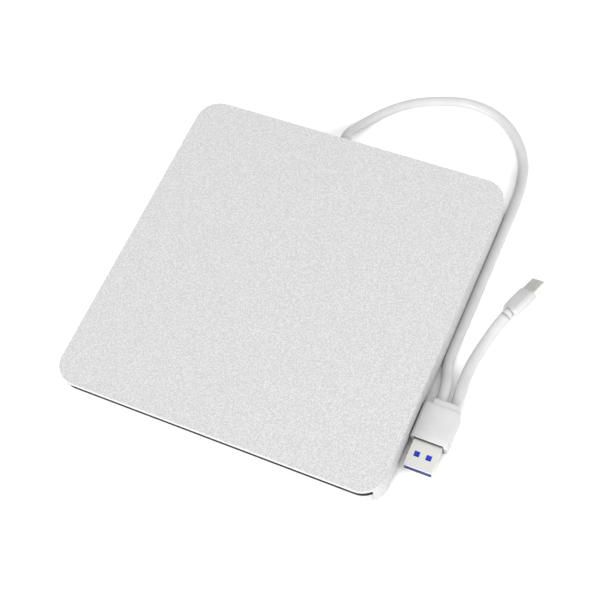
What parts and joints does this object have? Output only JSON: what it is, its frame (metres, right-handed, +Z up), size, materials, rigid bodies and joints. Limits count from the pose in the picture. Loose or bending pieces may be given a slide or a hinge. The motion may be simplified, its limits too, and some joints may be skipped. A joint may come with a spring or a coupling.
{
  "type": "external optical drive",
  "caption": "Slim square slot-loading disc drive with a stepped lip over its disc slot, a disc mechanism inside, and a short lead that ends in a USB-A plug and a side USB-C plug.",
  "frame": {"origin": "on the table under the middle of the case, at the feet's undersides", "axes": "+Z up, +X right, +Y to the back; the disc slot faces -Y and the lead leaves the back"},
  "size_m": [0.1741, 0.1976, 0.016],
  "materials": {
    "silver_shell": "fine matt grain",
    "grey_base": "fine matt grain",
    "foot_rubber": "matt",
    "screw_steel": "satin",
    "sheet_steel": "galvanised",
    "felt": "matt",
    "board": "solder mask",
    "chip_black": "matt",
    "ivory_plastic": "satin",
    "gear_nylon": "satin",
    "brass": "satin",
    "steel_shaft": "polished",
    "roller_rubber": "matt",
    "cast_alloy": "cast",
    "black_plastic": "satin",
    "copper_winding": "enamelled wire",
    "lens_glass": "coated",
    "cord_jacket": "smooth soft vinyl",
    "plug_shell": "nickel plated",
    "usb_blue": "satin",
    "gold_contact": "plated"
  },
  "bodies": {
    "case": {"top_cover": "silver_shell", "base_cover": "grey_base", "rubber_feet": "foot_rubber", "case_screws": "screw_steel", "mech_pan": "sheet_steel", "mech_lid": "sheet_steel", "mech_screws": "screw_steel", "slot_felt": "felt", "main_board": "board", "main_board_chips": "chip_black", "flex_connectors": "ivory_plastic", "bridge_board": "board", "bridge_chips": "chip_black", "sata_connector": "black_plastic", "loading_motor": "sheet_steel", "gear_studs": "steel_shaft", "eject_pivot": "steel_shaft", "eject_spring": "steel_shaft", "cable_gland": "cord_jacket", "main_cord": "cord_jacket", "usb_a_housing": "cord_jacket", "usb_a_shell": "plug_shell", "usb_a_insulator": "usb_blue", "usb_a_contacts": "gold_contact", "pigtail_cord": "cord_jacket", "usb_c_collar": "cord_jacket", "usb_c_housing": "cord_jacket", "usb_c_shell": "plug_shell", "usb_c_tongue": "black_plastic"},
    "pinion": {"motor_pinion": "brass"},
    "reduction": {"reduction_gear": "gear_nylon"},
    "transfer": {"transfer_gear": "gear_nylon"},
    "rack_drive": {"rack_gear": "gear_nylon"},
    "idler": {"idler_gear": "gear_nylon"},
    "roller_arm": {"roller_arm": "sheet_steel"},
    "feed_roller": {"roller_shaft": "steel_shaft", "roller_sleeves": "roller_rubber", "roller_gear": "gear_nylon"},
    "cam_slider": {"cam_slider": "gear_nylon"},
    "eject_lever": {"eject_lever": "sheet_steel", "eject_bumper": "roller_rubber"},
    "traverse": {"traverse_frame": "cast_alloy", "traverse_pins": "steel_shaft", "guide_rods": "steel_shaft", "stator_core": "copper_winding", "sled_motor": "sheet_steel"},
    "lead_screw": {"lead_screw": "steel_shaft"},
    "spindle": {"rotor_cup": "sheet_steel", "turntable_pad": "roller_rubber", "clamp_hub": "cast_alloy", "clamp_balls": "steel_shaft"},
    "sled": {"pickup_body": "cast_alloy", "drive_nut": "ivory_plastic", "actuator_magnets": "screw_steel", "laser_diode": "brass"},
    "lens": {"lens_holder": "black_plastic", "objective_lens": "lens_glass"}
  },
  "joints": [
    {"name": "traverse_lift", "type": "hinge", "parent": "case", "child": "traverse", "pos_m": [-0.04243, 0.03343, 0.0076], "axis": [-0.7071, -0.7071, 0], "range_deg": [0, 2]},
    {"name": "cam_slide", "type": "slide", "parent": "case", "child": "cam_slider", "axis": [0, 1, 0], "range_m": [0, 0.01]},
    {"name": "spindle_spin", "type": "hinge", "parent": "traverse", "child": "spindle", "pos_m": [0.00001, -0.00901, 0.00691], "axis": [0.0247, -0.0247, 0.9994], "continuous": true},
    {"name": "sled_slide", "type": "slide", "parent": "traverse", "child": "sled", "axis": [-0.7067, 0.7067, 0.0349], "range_m": [0, 0.0338]},
    {"name": "lead_screw_spin", "type": "hinge", "parent": "traverse", "child": "lead_screw", "pos_m": [-0.00899, 0.02446, 0.00655], "axis": [-0.7067, 0.7067, 0.0349], "range_deg": [0, 4056]},
    {"name": "lens_focus", "type": "slide", "parent": "sled", "child": "lens", "axis": [0.0247, -0.0247, 0.9994], "range_m": [-0.0005, 0.0005], "stiffness_N_per_m": 20},
    {"name": "roller_spin", "type": "hinge", "parent": "roller_arm", "child": "feed_roller", "pos_m": [0, -0.0665, 0.0069], "axis": [1, 0, 0], "continuous": true},
    {"name": "pinion_spin", "type": "hinge", "parent": "case", "child": "pinion", "pos_m": [0.0612, -0.04739, 0.0066], "axis": [1, 0, 0], "continuous": true},
    {"name": "reduction_spin", "type": "hinge", "parent": "case", "child": "reduction", "pos_m": [0.062, -0.05285, 0.0087], "axis": [1, 0, 0], "continuous": true},
    {"name": "transfer_spin", "type": "hinge", "parent": "case", "child": "transfer", "pos_m": [0.062, -0.0478, 0.0087], "axis": [1, 0, 0], "continuous": true},
    {"name": "rack_gear_spin", "type": "hinge", "parent": "case", "child": "rack_drive", "pos_m": [0.062, -0.04125, 0.0087], "axis": [1, 0, 0], "continuous": true},
    {"name": "idler_spin", "type": "hinge", "parent": "case", "child": "idler", "pos_m": [0.062, -0.0593, 0.0087], "axis": [1, 0, 0], "continuous": true},
    {"name": "roller_lift", "type": "hinge", "parent": "case", "child": "roller_arm", "pos_m": [0, -0.0593, 0.0087], "axis": [-1, 0, 0], "range_deg": [0, 11]},
    {"name": "eject_swing", "type": "hinge", "parent": "case", "child": "eject_lever", "pos_m": [0.05, 0.0495, 0.0101], "axis": [0, 0, 1], "range_deg": [0, 32]}
  ],
  "couplings": [
    {"joint": "cam_slide", "follows": "traverse_lift", "m_per_rad": 0.28648},
    {"joint": "lead_screw_spin", "follows": "sled_slide", "rad_per_m": 2094.4},
    {"joint": "idler_spin", "follows": "roller_spin", "ratio": -0.58078},
    {"joint": "reduction_spin", "follows": "roller_spin", "ratio": 1.5715},
    {"joint": "transfer_spin", "follows": "roller_spin", "ratio": -0.83487},
    {"joint": "rack_gear_spin", "follows": "roller_spin", "ratio": 0.83487},
    {"joint": "pinion_spin", "follows": "roller_spin", "ratio": -5.319}
  ]
}
